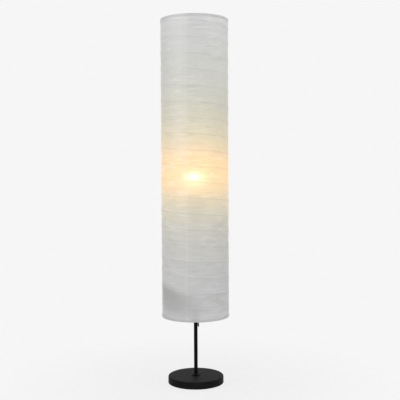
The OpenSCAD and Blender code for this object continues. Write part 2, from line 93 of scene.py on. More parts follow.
def maths(tree, operation, first, second=0.0, third=0.0):
    """One sum: the output of a Math node over values or outputs."""
    feeds = {0: first, 1: second, 2: third}
    return wire(tree, "Math", feeds, operation=operation).outputs[0]


def ramp(tree, value, low, high, start=0.0, end=1.0, kind="LINEAR"):
    """Goes from start at low to end at high, and stays as it is beyond them."""
    feeds = {"Value": value, 1: low, 2: high, 3: start, 4: end}
    return wire(tree, "MapRange", feeds, interpolation_type=kind).outputs[0]


def eased(tree, value, low, high, start=0.0, end=1.0):
    """The same with soft ends. High may lie below low."""
    return ramp(tree, value, low, high, start, end, kind="SMOOTHSTEP")


def shader_mix(tree, share, first, second):
    """The first shader where the share is 0, the second where it is 1."""
    return wire(tree, "MixShader", {0: share, 1: first, 2: second}).outputs[0]


def blank_material(name):
    """A material with only its output, and that output's surface socket."""
    material = bpy.data.materials.new(name)
    material.use_nodes = True
    material.node_tree.nodes.clear()
    output = material.node_tree.nodes.new("ShaderNodeOutputMaterial")
    return material, material.node_tree, output.inputs["Surface"]


def eye_rays(tree):
    """1 for rays that show something to the eye: straight, mirrored or through glass."""
    path = wire(tree, "LightPath")
    seen = maths(tree, "MAXIMUM", path.outputs["Is Camera Ray"], path.outputs["Is Glossy Ray"])
    return maths(tree, "MAXIMUM", seen, path.outputs["Is Transmission Ray"])


surround = bpy.data.worlds.new("surround")
surround.use_nodes = True
sky = surround.node_tree
sky.nodes.clear()
soft_sky = wire(sky, "Background", {"Color": (1.0, 1.0, 1.0, 1.0), "Strength": SKY_STRENGTH})
pale_sky = wire(sky, "Background", {"Color": PALE, "Strength": 1.0})
both_skies = shader_mix(sky, eye_rays(sky), soft_sky.outputs[0], pale_sky.outputs[0])
sky_out = sky.nodes.new("ShaderNodeOutputWorld")
sky.links.new(both_skies, sky_out.inputs["Surface"])
bpy.context.scene.world = surround

floor_material, tree, surface = blank_material("pale_floor")
place = wire(tree, "TexCoord").outputs["Object"]
away = wire(tree, "VectorMath", {0: place}, operation="LENGTH").outputs["Value"]
matt_share = eased(tree, away, FADE_FROM, FADE_TO, SHADOW_SHARE, 0.0)
matt = wire(tree, "BsdfDiffuse", {"Color": FLOOR_COLOUR}).outputs[0]
plain = wire(tree, "Emission", {"Color": PALE, "Strength": 1.0}).outputs[0]
shown = shader_mix(tree, matt_share, plain, matt)
tree.links.new(shader_mix(tree, eye_rays(tree), matt, shown), surface)

floor_mesh = bpy.data.meshes.new("studio_floor")
floor_mesh.from_pydata(
    [(x * FLOOR_REACH, y * FLOOR_REACH, 0.0) for x, y in ((-1, -1), (1, -1), (1, 1), (-1, 1))],
    [],
    [(0, 1, 2, 3)],
)
floor_mesh.materials.append(floor_material)
studio_floor = bpy.data.objects.new("studio_floor", floor_mesh)
bpy.context.scene.collection.objects.link(studio_floor)


def broad_lamp(name, watts, size, place, turn):
    """A round softbox that lights the lamp and isn't seen itself."""
    data = bpy.data.lights.new(name, "AREA")
    data.energy = watts
    data.shape = "DISK"
    data.size = size
    lamp = bpy.data.objects.new(name, data)
    lamp.location = place
    lamp.rotation_euler = turn
    lamp.visible_camera = False
    bpy.context.scene.collection.objects.link(lamp)


broad_lamp(
    "overhead_lamp", OVERHEAD_WATTS, size=2.4, place=(0.0, -0.2, 2.0), turn=(0.0, 0.0, 0.0)
)
broad_lamp(
    "front_lamp",
    FRONT_WATTS,
    size=1.2,
    place=(-0.62, -2.8, 0.70),
    turn=(math.radians(90), 0.0, math.radians(-12.5)),
)


# Foot: four black rubber pads glued under a steel plate, which three screws hold to
# the cast iron weight. Rubber is matt and dusty, the plate and screws are zinc plated
# or painted, and the iron has the skin of a sand mould under thin grey paint.
CLOUD_FINENESS = 0.025


def noise(tree, place, scale, detail=2.0, roughness=0.5, distortion=0.0):
    """Noise from 0 to 1, of so many grains a metre."""
    feeds = {"Vector": place, "Scale": scale, "Detail": detail}
    feeds |= {"Roughness": roughness, "Distortion": distortion}
    return wire(tree, "TexNoise", feeds).outputs[0]


def stretched(tree, place, scale, turned=(0.0, 0.0, 0.0)):
    """Places for noise, scaled along each axis and then turned. A scale below 1 draws the
    noise out."""
    feeds = {"Vector": place, "Scale": scale, "Rotation": turned}
    return wire(tree, "Mapping", feeds).outputs[0]


def colour_mix(tree, share, first, second):
    """The first colour where the share is 0, the second where it is 1."""
    feeds = {0: share, 6: first, 7: second}
    return wire(tree, "Mix", feeds, data_type="RGBA").outputs[2]


def raised(tree, height, relief):
    """The surface's normal where a height of 1 raises it by relief metres."""
    return wire(tree, "Bump", {"Height": height, "Distance": relief}).outputs[0]


def grain_group():
    """Noise at a given fineness per metre: Speck is the grain, Cloud drifts over 40 grains."""
    group = bpy.data.node_groups.new("surface_grain", "ShaderNodeTree")
    group.interface.new_socket("Place", in_out="INPUT", socket_type="NodeSocketVector")
    group.interface.new_socket("Fineness", in_out="INPUT", socket_type="NodeSocketFloat")
    group.interface.new_socket("Speck", in_out="OUTPUT", socket_type="NodeSocketFloat")
    group.interface.new_socket("Cloud", in_out="OUTPUT", socket_type="NodeSocketFloat")
    inward = group.nodes.new("NodeGroupInput")
    outward = group.nodes.new("NodeGroupOutput")
    place, fineness = inward.outputs["Place"], inward.outputs["Fineness"]
    speck = noise(group, place, fineness, detail=3.0, roughness=0.6)
    cloud = noise(group, place, maths(group, "MULTIPLY", fineness, CLOUD_FINENESS))
    group.links.new(speck, outward.inputs["Speck"])
    group.links.new(cloud, outward.inputs["Cloud"])
    return group


surface_grain = grain_group()


def finish(
    name,
    colour,
    drift,
    roughness,
    fineness,
    relief,
    metallic=0.0,
    coat=0.0,
    shine=0.5,
    stretch=(1, 1, 1),
):
    """A solid finish. Its colour goes to drift in slow clouds. Its specks, of that fineness,
    set its roughness between two values and raise it by relief metres. A stretch below 1
    draws them out along an axis."""
    material, tree, surface = blank_material(name)
    place = stretched(tree, wire(tree, "TexCoord").outputs["Object"], stretch)
    feeds = {"Place": place, "Fineness": fineness}
    grain = wire(tree, "Group", feeds, node_tree=surface_grain)
    cloud = ramp(tree, grain.outputs["Cloud"], 0.35, 0.65)
    body = wire(
        tree,
        "BsdfPrincipled",
        {
            "Base Color": colour_mix(tree, cloud, (*colour, 1.0), (*drift, 1.0)),
            "Roughness": ramp(tree, grain.outputs["Speck"], 0.3, 0.7, *roughness),
            "Normal": raised(tree, grain.outputs["Speck"], relief),
            "Metallic": metallic,
            "Coat Weight": coat,
            "Specular IOR Level": shine,
        },
    )
    tree.links.new(body.outputs[0], surface)
    return material


def dress(material, *names):
    """Gives CAD nodes that finish in each of their material slots."""
    for name in names:
        for holder in nodes[name].material_slots:
            holder.material = material


pad_rubber = finish(
    "pad_rubber",
    colour=(0.022, 0.022, 0.022),
    drift=(0.04, 0.039, 0.037),
    roughness=(0.75, 0.95),
    fineness=2600,
    relief=0.00006,
)
powder_coat = finish(
    "powder_coat",
    colour=(0.006, 0.006, 0.0065),
    drift=(0.009, 0.009, 0.0095),
    roughness=(0.5, 0.7),
    fineness=1500,
    relief=0.00009,
    shine=0.07,
)
zinc_plate = finish(
    "zinc_plate",
    colour=(0.52, 0.53, 0.55),
    drift=(0.62, 0.62, 0.60),
    roughness=(0.26, 0.44),
    fineness=900,
    relief=0.00002,
    metallic=1.0,
)
sand_cast_iron = finish(
    "sand_cast_iron",
    colour=(0.09, 0.09, 0.095),
    drift=(0.14, 0.135, 0.13),
    roughness=(0.65, 0.9),
    fineness=700,
    relief=0.0003,
)
dress(pad_rubber, "foot_pads")
dress(powder_coat, "bottom_plate")
dress(zinc_plate, "bottom_plate_screws")
dress(sand_cast_iron, "cast_weight")


# Foot cover and collar: sheet steel drawn over the weight, its upper edge rolled, with a
# black powder coat of fine grain. The gland in its skirt is moulded in black nylon.
black_moulding = finish(
    "black_moulding",
    colour=(0.020, 0.020, 0.021),
    drift=(0.030, 0.030, 0.031),
    roughness=(0.34, 0.52),
    fineness=1900,
    relief=0.00004,
)
dress(powder_coat, "foot_cover", "foot_collar")
dress(black_moulding, "cord_gland")


# Inside the foot: an ivory terminal block with brass screws, and the hollow nipple, washer
# and nut, zinc plated, that clamp the pole to the weight.
ivory_moulding = finish(
    "ivory_moulding",
    colour=(0.74, 0.70, 0.60),
    drift=(0.80, 0.77, 0.69),
    roughness=(0.3, 0.45),
    fineness=1200,
    relief=0.00003,
)
turned_brass = finish(
    "turned_brass",
    colour=(0.66, 0.47, 0.19),
    drift=(0.76, 0.58, 0.28),
    roughness=(0.24, 0.42),
    fineness=1100,
    relief=0.00002,
    metallic=1.0,
)
dress(ivory_moulding, "terminal_block")
dress(turned_brass, "terminal_screws")
dress(zinc_plate, "foot_nipple", "foot_washer", "foot_nut")


# Pole: two lengths of steel tube with a black powder coat a little finer than the foot's,
# over a plated coupler. Inside it run two leads, insulated in brown and blue soft plastic.
tube_coat = finish(
    "tube_coat",
    colour=(0.006, 0.006, 0.0065),
    drift=(0.008, 0.008, 0.0085),
    roughness=(0.5, 0.65),
    fineness=1500,
    relief=0.00006,
    shine=0.04,
)
brown_sleeve = finish(
    "brown_sleeve",
    colour=(0.20, 0.095, 0.04),
    drift=(0.25, 0.12, 0.05),
    roughness=(0.32, 0.48),
    fineness=900,
    relief=0.00003,
)
blue_sleeve = finish(
    "blue_sleeve",
    colour=(0.04, 0.13, 0.42),
    drift=(0.06, 0.17, 0.48),
    roughness=(0.32, 0.48),
    fineness=900,
    relief=0.00003,
)
dress(tube_coat, "lower_pole", "upper_pole")
dress(zinc_plate, "pole_coupler")
dress(brown_sleeve, "lead_live")
dress(blue_sleeve, "lead_neutral")


# Lampholder: a black heat-proof moulding in two halves round a glazed porcelain block, with
# a spun brass screw shell, a brass spring contact and two brass screws.
glazed_porcelain = finish(
    "glazed_porcelain",
    colour=(0.80, 0.78, 0.72),
    drift=(0.86, 0.85, 0.80),
    roughness=(0.10, 0.22),
    fineness=260,
    relief=0.00004,
    coat=0.4,
)
dress(black_moulding, "holder_cap", "holder_body", "shade_ring_nut")
dress(glazed_porcelain, "contact_block")
dress(turned_brass, "centre_contact", "screw_shell", "holder_screws")
dress(zinc_plate, "holder_nipple", "holder_nut")


# Shade support: a pressed saddle under the ring nut, two bent wires and a bridge, all zinc
# plated, and the cranked crossbar under its finial nut. The wire shows its drawing marks.
drawn_wire = finish(
    "drawn_wire",
    colour=(0.50, 0.51, 0.53),
    drift=(0.64, 0.64, 0.63),
    roughness=(0.28, 0.46),
    fineness=2200,
    relief=0.00003,
    metallic=1.0,
    stretch=(1, 1, 0.08),
)
dress(zinc_plate, "harp_saddle", "harp_bridge", "finial_nut")
dress(drawn_wire, "harp_wire_left", "harp_wire_right")
dress(zinc_plate, "top_crossbar")


# End rings: steel wire of 3 mm bent round and butt welded, plated, one welded to each
# crossbar. The upper one hangs from the support, the lower one slides with the carrier.
dress(drawn_wire, "top_ring", "bottom_ring")


# Rib wire: one springy steel wire of 1.4 mm, wound left-handed in 19 turns from ring to
# ring, its ends bent in to meet them.
FULL_TURN = 2 * np.pi
PITCH = 0.0495
RING_R = 0.1067
WIRE_PATH_R = 0.1079
WIRE_R = 0.0007
WIRE_SIDES = 8
WIRE_STEPS_PER_TURN = 90
HELIX_TOP_Z, HELIX_LOW_Z = 1.16335, 0.22415
WIRE_TOP_Z, WIRE_LOW_Z = 1.16645, 0.22105
HELIX_START = math.radians(168.4)
TURNS = (HELIX_TOP_Z - HELIX_LOW_Z) / PITCH
STEP_OUT_PER_TURN = 40
BEND_ANGLE = math.radians(1.4)


def put(name, points, faces, body, material):
    """A smooth piece with that mesh, riding on a body and given that material."""
    mesh = bpy.data.meshes.new(name)
    mesh.from_pydata(points.tolist(), [], faces)
    mesh.materials.append(material)
    mesh.polygons.foreach_set("use_smooth", np.ones(len(mesh.polygons), dtype=bool))
    mesh.update()
    piece = bpy.data.objects.new(name, mesh)
    bpy.context.scene.collection.objects.link(piece)
    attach(piece, body)
    return piece


def tube(path, radius, sides):
    """A circle carried along a path: at each point it stands across the path's direction,
    measured between that point's neighbours, with one arm turned away from the Z axis."""
    along = np.gradient(path, axis=0)
    along /= np.linalg.norm(along, axis=1, keepdims=True)
    out = path * (1.0, 1.0, 0.0)
    out -= (out * along).sum(axis=1, keepdims=True) * along
    out /= np.linalg.norm(out, axis=1, keepdims=True)
    across = np.cross(along, out)
    turn = (np.arange(sides) * FULL_TURN / sides)[None, :, None]
    arms = np.cos(turn) * out[:, None] + np.sin(turn) * across[:, None]
    points = (path[:, None] + radius * arms).reshape(-1, 3)
    start = (np.arange(len(path) - 1) * sides)[:, None]
    here = np.arange(sides)[None, :]
    there = (here + 1) % sides
    corners = [start + here, start + there, start + sides + there, start + sides + here]
    quads = np.stack(corners, -1).reshape(-1, 4).tolist()
    first_end = list(range(sides))[::-1]
    last_end = list(range(len(points) - sides, len(points)))
    return points, [*quads, first_end, last_end]


def in_space(radius, angle, height):
    """Points from radius, angle and height, as an array with x, y, z last."""
    radius, angle, height = np.broadcast_arrays(radius, angle, height)
    return np.stack([radius * np.cos(angle), radius * np.sin(angle), height], -1)


# At each end the wire steps out from the ring's radius to its own in a fortieth of a turn,
# and a short bend takes it to the ring's height along a cubic curve.
share = np.linspace(0.0, 1.0, int(TURNS * WIRE_STEPS_PER_TURN))
step_out = np.clip(np.minimum(share, 1 - share) * TURNS * STEP_OUT_PER_TURN, 0.0, 1.0)
coil = in_space(
    RING_R + (WIRE_PATH_R - RING_R) * step_out,
    HELIX_START + share * TURNS * FULL_TURN,
    HELIX_TOP_Z + (HELIX_LOW_Z - HELIX_TOP_Z) * share,
)
bend = np.linspace(1.0, 0.2, 5)
top_bend = in_space(
    RING_R, HELIX_START - BEND_ANGLE * bend, HELIX_TOP_Z + (WIRE_TOP_Z - HELIX_TOP_Z) * bend**3
)
low_bend = in_space(
    RING_R,
    HELIX_START + TURNS * FULL_TURN + BEND_ANGLE * bend[::-1],
    HELIX_LOW_Z + (WIRE_LOW_Z - HELIX_LOW_Z) * bend[::-1] ** 3,
)
points, faces = tube(np.concatenate([top_bend, coil, low_bend]), WIRE_R, WIRE_SIDES)
coiled_wire = put("coiled_rib_wire", points, faces, "stand", drawn_wire)
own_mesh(coiled_wire)
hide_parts("rib_wire")


# Paper: one sheet of white mulberry paper, 0.3 mm thick, glued over the wire and lapped
# 8 mm left of the front. It stands proud on each turn of the wire and draws in between.
PAPER_TOP_Z, PAPER_LOW_Z = 1.170, 0.218
PAPER_R = 0.1087
COLUMNS_PER_TURN = 180
SPARE_ANGLE = 0.05
ROWS_MM = (0.0, 0.45, 0.95, 1.6, 2.6, 4.5, 8.0, 13.0, 18.5, 24.75)
RIDGE = 0.00016
RIDGE_WIDTH = 0.0013
RIDGE_RUN_IN = 0.2
SAG = 0.0008
SAG_WAVES = ((0.22, 3, 41), (0.15, 7, -23))
LAP_ANGLE = math.radians(-104.7)
LAP_HALF = 0.0042
LAP_SLOPE_END = 1.06
LAP_RISE = 0.00012
NO_HEIGHT = 1e-7
SAME_PLACE = 2e-6


def smoothstep(value, low, high):
    """0 below low, 1 above high, and eased between."""
    part = np.clip((value - low) / (high - low), 0.0, 1.0)
    return part * part * (3 - 2 * part)


def paper_surface():
    """A strip one pitch wide that follows the wire round. Along it the angle grows and the
    height falls by the pitch each turn; across it the height falls from one turn of wire to
    the next. The radius is the paper's, plus a narrow ridge on each wire that falls off as
    a bell curve, less a sag that grows as a parabola between two supports and varies in two
    slow waves, plus a low step on the lap."""
    one_turn = np.linspace(0.0, FULL_TURN, COLUMNS_PER_TURN, endpoint=False)
    lap_edges = np.array([-LAP_SLOPE_END, -1.0, 1.0, LAP_SLOPE_END]) * LAP_HALF / PAPER_R
    lap_edges = (LAP_ANGLE - HELIX_START + lap_edges) % FULL_TURN
    one_turn = np.sort(np.concatenate([one_turn, lap_edges]))
    helix = (np.arange(-2, math.ceil(TURNS) + 1)[:, None] * FULL_TURN + one_turn).ravel()
    first = -(PAPER_TOP_Z - HELIX_TOP_Z) / PITCH * FULL_TURN - FULL_TURN
    last = (HELIX_TOP_Z - PAPER_LOW_Z) / PITCH * FULL_TURN
    helix = helix[(helix > first - SPARE_ANGLE) & (helix < last + SPARE_ANGLE)]
    half = np.array(ROWS_MM) / (1000 * PITCH)
    across = np.concatenate([half, 1 - half[-2::-1]])
    turn, drop = np.meshgrid(helix, across, indexing="ij")
    end = TURNS * FULL_TURN

    def wire_z(angle):
        """Height of the wire at that angle from its start."""
        return HELIX_TOP_Z - PITCH * angle / FULL_TURN

    def ridge(angle, gap):
        """Share of the ridge at a gap from the wire. It runs in at both ends of the wire."""
        run_in = smoothstep(angle, 0.0, RIDGE_RUN_IN) * smoothstep(end - angle, 0.0, RIDGE_RUN_IN)
        return run_in * np.exp(-((gap / RIDGE_WIDTH) ** 2))

    height = np.clip(wire_z(turn) - PITCH * drop, PAPER_LOW_Z, PAPER_TOP_Z)
    above = np.where(turn > end, turn - FULL_TURN, turn)
    below = np.where(turn + FULL_TURN < 0, turn + 2 * FULL_TURN, turn + FULL_TURN)
    upper = np.where(above < 0, PAPER_TOP_Z, wire_z(above))
    lower = np.where(below > end, PAPER_LOW_Z, wire_z(below))
    bay = upper - lower
    part = np.clip((upper - height) / bay, 0.0, 1.0)
    angle = HELIX_START + turn
    uneven = 1.0
    for amount, waves_round, waves_down in SAG_WAVES:
        uneven = uneven + amount * np.sin(waves_round * angle + waves_down * height)
    sag = SAG * uneven * (bay / PITCH) ** 1.5 * 4 * part * (1 - part)
    ridges = ridge(above, upper - height) + ridge(below, height - lower)
    off_lap = np.abs((angle - LAP_ANGLE + np.pi) % FULL_TURN - np.pi) * PAPER_R
    lap = LAP_RISE * (1 - smoothstep(off_lap, LAP_HALF, LAP_HALF * LAP_SLOPE_END))
    points = in_space(PAPER_R + RIDGE * ridges - sag + lap, angle, height)
    to_upper, to_lower = (upper - height) / PITCH, (height - lower) / PITCH
    phase = np.where(to_upper < to_lower, to_upper, 1 - to_lower)
    return points, np.stack([turn / FULL_TURN, phase], -1), height


def strip_faces(columns, rows):
    """Quads of a grid, wound so that they face away from the Z axis."""
    column = (np.arange(columns - 1) * rows)[:, None]
    row = np.arange(rows - 1)[None, :]
    corner = column + row
    return np.stack([corner, corner + 1, corner + rows + 1, corner + rows], -1).reshape(-1, 4)


# Painted glow: the bulb's light through the paper is painted into the paper's emission.
BULB_Z = 0.676
WIDE_GLOW, WIDE_REACH, WIDE_FALL = (0.05, 0.113, 0.0), (0.25, 0.16), -1.5
NARROW_GLOW, NARROW_REACH, NARROW_FALL = (0.41, 0.045, 0.0), (0.135, 0.097), -2.0
RIB_DIM, LAP_DIM, SUPPORT_WIRE_DIM = 0.2, 0.08, 0.22
# The paper's tones: its own colour in clouds, with painted light in them: a warm tint under the
# glow, painted shade along the wires and wrinkles, and a paler tone for painted highlights and
# lit patches.
CLOUD_TONES = (0.70, 0.70, 0.724, 1.0), (0.765, 0.763, 0.792, 1.0)
GLOW_TINT_TONE, GLOW_TINT_SHARE = (0.74, 0.725, 0.54, 1.0), 0.5
RIB_LINE_AND_SHADE_TONE, RIB_LINE_AND_SHADE_SHARE = (0.58, 0.58, 0.57, 1.0), 0.42
LAP_TONE, LAP_SHARE = (0.80, 0.80, 0.80, 1.0), 0.35
WRINKLE_SHADE_TONE, WRINKLE_SHADE_SHARE = (0.60, 0.60, 0.59, 1.0), 0.33
PAINTED_LIGHT_TONE, WRINKLE_HIGHLIGHT_SHARE = (0.86, 0.86, 0.86, 1.0), 0.38
LIT_PATCH_SHARE, LIT_UPPER_RIGHT_SHARE, WIRE_HIGHLIGHT_SHARE = 0.50, 0.45, 0.6
GREY_TONE, GREY_SHARE = (0.45, 0.455, 0.45, 1.0), 0.7
GREY_BORDER_Z, GREY_SLANT, GREY_WAVER = 0.296, -0.28, 0.03
FIBRE_RELIEF, WRINKLE_RELIEF, PAPER_RELIEF = 0.05, 1.3, 0.0022
SEEN_THROUGH = 0.07


def product(tree, first, *others):
    """These values or outputs multiplied."""
    for other in others:
        first = maths(tree, "MULTIPLY", first, other)
    return first


def less(tree, mask, share):
    """1, and less by that share where the mask is 1."""
    return maths(tree, "MULTIPLY_ADD", mask, -share, 1.0)


def bump_between(tree, value, low, middle, high):
    """0 at low and at high, and 1 at the middle."""
    return product(tree, eased(tree, value, low, middle), eased(tree, value, high, middle))


def towards(tree, place, direction):
    """How far a place lies in that direction."""
    feeds = {0: place, 1: direction}
    return wire(tree, "VectorMath", feeds, operation="DOT_PRODUCT").outputs["Value"]


def glow_by_height(tree, rise, above, below, fall):
    """(1 + (rise / reach)^2) ^ fall: 1 level with the bulb, and half at about 0.7 of its
    reach, which differs above and below the bulb."""
    upward = maths(tree, "DIVIDE", maths(tree, "MAXIMUM", rise, 0.0), above)
    downward = maths(tree, "DIVIDE", maths(tree, "MINIMUM", rise, 0.0), below)
    reaches = maths(tree, "ADD", upward, downward)
    return maths(tree, "POWER", maths(tree, "MULTIPLY_ADD", reaches, reaches, 1.0), fall)


def glow_through_paper(tree, z, dim):
    """The bulb's light through the paper, painted as the paper's own emission: a wide
    yellow-green glow and a narrow orange one about the bulb's height, both dimmed. Gives the
    painted glow, and how far it tints the paper's colour warm, which is painted warm light too."""
    rise = maths(tree, "SUBTRACT", z, BULB_Z)
    wide = glow_by_height(tree, rise, *WIDE_REACH, WIDE_FALL)
    narrow = glow_by_height(tree, rise, *NARROW_REACH, NARROW_FALL)
    feeds = {0: WIDE_GLOW, "Scale": product(tree, wide, dim)}
    wide_light = wire(tree, "VectorMath", feeds, operation="SCALE").outputs[0]
    feeds = {0: NARROW_GLOW, 1: product(tree, narrow, dim), 2: wide_light}
    light = wire(tree, "VectorMath", feeds, operation="MULTIPLY_ADD").outputs[0]
    return light, product(tree, maths(tree, "ADD", wide, narrow), GLOW_TINT_SHARE)


def grey_lower_end(tree, x, y, made_z, where):
    """Mask of the grey zone at the lower left. Its border slants and wavers, and it fades
    out downwards, to the right and round the back."""
    border = maths(tree, "MULTIPLY_ADD", x, GREY_SLANT, GREY_BORDER_Z)
    waver = maths(tree, "SUBTRACT", where, 0.5)
    border = maths(tree, "MULTIPLY_ADD", waver, GREY_WAVER, border)
    under_border = maths(tree, "SUBTRACT", border, made_z)
    below_edge = eased(tree, under_border, -0.015, 0.015)
    fading_down = eased(tree, under_border, 0.095, 0.03, 0.40)
    on_left = eased(tree, x, 0.06, -0.085)
    on_front = eased(tree, y, 0.03, -0.05)
    return product(tree, below_edge, fading_down, on_left, on_front)


def paper_material():
    """Matt white paper with long fibres. A painted glow, given as its emission, fades with the
    height above or below the bulb, dimmed over each turn of wire, at the double lap and in a
    painted soft shadow of the support wires, and tints its colour warm. Wire lines with painted
    shade, the lap, painted shade and highlights along the wrinkles, painted lit patches and a
    painted highlight above the wires vary its tone, and it is grey at the lower left."""
    material, tree, surface = blank_material("mulberry_paper")
    place = wire(tree, "TexCoord").outputs["Object"]
    x, y, z = wire(tree, "SeparateXYZ", {0: place}).outputs
    strip = wire(tree, "UVMap", uv_map="strip").outputs[0]
    turns, phase, _ = wire(tree, "SeparateXYZ", {0: strip}).outputs

    off_wire = maths(tree, "MINIMUM", phase, maths(tree, "SUBTRACT", 1.0, phase))
    on_wire = eased(tree, off_wire, 0.012, 0.036, 1.0, 0.0)
    turns_down = maths(tree, "ADD", turns, phase)
    made_z = maths(tree, "MULTIPLY_ADD", turns_down, -PITCH, HELIX_TOP_Z)
    beside_lap = towards(tree, place, (-math.sin(LAP_ANGLE), math.cos(LAP_ANGLE), 0.0))
    facing_lap = towards(tree, place, (math.cos(LAP_ANGLE), math.sin(LAP_ANGLE), 0.0))
    lap_side = maths(tree, "GREATER_THAN", facing_lap, 0.0)
    off_lap = maths(tree, "ABSOLUTE", beside_lap)
    in_lap = ramp(tree, off_lap, LAP_HALF * 0.9, LAP_HALF * 1.1, 1.0, 0.0)
    on_lap = product(tree, in_lap, lap_side)

    fibre_place = stretched(tree, place, (1.0, 1.0, 0.35))
    fibre = noise(tree, fibre_place, 420.0, detail=4.0, roughness=0.65)
    cloudy = noise(tree, place, 26.0, detail=3.0, roughness=0.55)
    crease_place = stretched(tree, place, (1.0, 1.0, 2.4), turned=(0.3, 0.2, 0.0))
    crease = noise(tree, crease_place, 17.0, detail=2.5, distortion=0.8)
    wrinkle_place = stretched(tree, place, (0.3, 0.3, 1.5), turned=(0.0, 0.05, 0.0))
    wrinkle = noise(tree, wrinkle_place, 66.0, detail=2.0, distortion=0.5)
    where = noise(tree, place, 11.0, detail=1.0)

    patchy = ramp(tree, cloudy, 0.3, 0.7, 0.94, 1.05)
    by_wires = eased(tree, maths(tree, "ABSOLUTE", x), 0.03, PAPER_R)
    rib_dim, lap_dim = less(tree, on_wire, RIB_DIM), less(tree, on_lap, LAP_DIM)
    dim = product(tree, rib_dim, lap_dim, patchy, less(tree, by_wires, SUPPORT_WIRE_DIM))
    light, glow_tint = glow_through_paper(tree, z, dim)

    colour = colour_mix(tree, cloudy, *CLOUD_TONES)
    # Painted warm light: the paper's colour turns warmer where the glow is painted.
    colour = colour_mix(tree, glow_tint, colour, GLOW_TINT_TONE)
    # A darker line along each wire: partly the wire and glue under the paper, partly painted
    # shade, stronger to the right.
    shaded_to_right = eased(tree, x, -0.07, 0.03, 0.4)
    colour = colour_mix(tree, product(tree, on_wire, shaded_to_right, RIB_LINE_AND_SHADE_SHARE), colour, RIB_LINE_AND_SHADE_TONE)
    colour = colour_mix(tree, product(tree, on_lap, LAP_SHARE), colour, LAP_TONE)

    # Painted shade on one side of the wrinkles and painted highlights on the other, where streaky
    # lets them show.
    streaky = eased(tree, where, 0.38, 0.60, 0.35)
    wrinkle_shade = product(tree, eased(tree, wrinkle, 0.47, 0.36), streaky, WRINKLE_SHADE_SHARE)
    colour = colour_mix(tree, wrinkle_shade, colour, WRINKLE_SHADE_TONE)

    wrinkle_highlight = product(tree, eased(tree, wrinkle, 0.53, 0.64), streaky, WRINKLE_HIGHLIGHT_SHARE)
    # Painted light: a paler patch left of the lap, as if lit from the left front.
    lit_patch_band = bump_between(tree, beside_lap, -0.085, -0.021, 0.018)
    lit_patch_by_lap = product(tree, lit_patch_band, lap_side, eased(tree, made_z, 0.62, 0.88, 0.25))
    # Painted light: the paper is paler at the upper right.
    near_top = eased(tree, made_z, 0.86, 1.02)
    lit_upper_right = product(tree, eased(tree, x, 0.02, 0.09), near_top)
    # Painted highlight: a pale line just above each wire, in the lower part and on the left.
    wire_highlight_band = bump_between(tree, phase, 0.90, 0.955, 0.975)
    lower_down = eased(tree, made_z, 0.72, 0.50)
    to_left = eased(tree, x, 0.085, -0.02, 0.25)
    wire_highlight = product(tree, wire_highlight_band, lower_down, to_left)
    # All painted light goes into one paler tone: the wrinkle highlights, the lit patches and the
    # highlight above the wires.
    painted_light = maths(tree, "MULTIPLY_ADD", lit_patch_by_lap, LIT_PATCH_SHARE, wrinkle_highlight)
    painted_light = maths(tree, "MULTIPLY_ADD", lit_upper_right, LIT_UPPER_RIGHT_SHARE, painted_light)
    painted_light = maths(tree, "MULTIPLY_ADD", wire_highlight, WIRE_HIGHLIGHT_SHARE, painted_light)
    colour = colour_mix(tree, painted_light, colour, PAINTED_LIGHT_TONE)

    greyed = product(tree, grey_lower_end(tree, x, y, made_z, where), GREY_SHARE)
    colour = colour_mix(tree, greyed, colour, GREY_TONE)

    wrinkled = product(tree, wrinkle, eased(tree, where, 0.42, 0.60))
    height = maths(tree, "MULTIPLY_ADD", fibre, FIBRE_RELIEF, crease)
    height = maths(tree, "MULTIPLY_ADD", wrinkled, WRINKLE_RELIEF, height)
    normal = raised(tree, height, PAPER_RELIEF)
    sheet = wire(
        tree,
        "BsdfPrincipled",
        {
            "Base Color": colour,
            "Roughness": ramp(tree, fibre, 0.0, 1.0, 0.25, 0.32),
            "Normal": normal,
            "Transmission Weight": 0.12,
            "IOR": 1.45,
            "Specular IOR Level": 0.08,
            "Emission Color": light,
            "Emission Strength": 1.0,
        },
    )
    back_lit = wire(tree, "BsdfTranslucent", {"Color": colour, "Normal": normal})
    both = shader_mix(tree, SEEN_THROUGH, sheet.outputs[0], back_lit.outputs[0])
    tree.links.new(both, surface)
    return material


mulberry_paper = paper_material()
points, strip_map, heights = paper_surface()
quads = strip_faces(*heights.shape)
corner_heights = heights.reshape(-1)[quads]
quads = quads[np.ptp(corner_heights, axis=1) > NO_HEIGHT]
paper = put(
    "glued_paper", points.reshape(-1, 3), quads.tolist(), "stand", mulberry_paper
)
strip_layer = paper.data.uv_layers.new(name="strip")
strip_layer.data.foreach_set("uv", strip_map.reshape(-1, 2)[quads.reshape(-1)].ravel())
joined = bmesh.new()
joined.from_mesh(paper.data)
bmesh.ops.remove_doubles(joined, verts=joined.verts, dist=SAME_PLACE)
loose = [vertex for vertex in joined.verts if not vertex.link_faces]
bmesh.ops.delete(joined, geom=loose, context="VERTS")
joined.to_mesh(paper.data)
joined.free()
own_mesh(paper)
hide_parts("paper_shade")


# Turned edges: at each end the paper is folded inward over the ring and glued down, a
# doubled strip 7 mm deep. The upper one stays, the lower one goes with the sliding ring.
FOLD_DEPTH = 0.007
TUCK_DEPTH = FOLD_DEPTH * 0.6
FOLD_OUTER_R = PAPER_R + 0.0004
FOLD_INNER_R = 0.1048
OUTER_LEG = (
    (FOLD_OUTER_R - 0.00005, -FOLD_DEPTH),
    (FOLD_OUTER_R - 0.00004, -FOLD_DEPTH + 0.0003),
    (FOLD_OUTER_R, -0.0026),
    (FOLD_OUTER_R, -0.0020),
)
BOW_LOW, BOW_RISE, BOW_POINTS = -0.0016, 0.0022, 13
LEG_THICK, CROWN_THICK, BOW_SHRINK = 0.00025, 0.0002, 0.86
LATHE_STEPS = 180
RING_MARK = (0.001, 0.004)


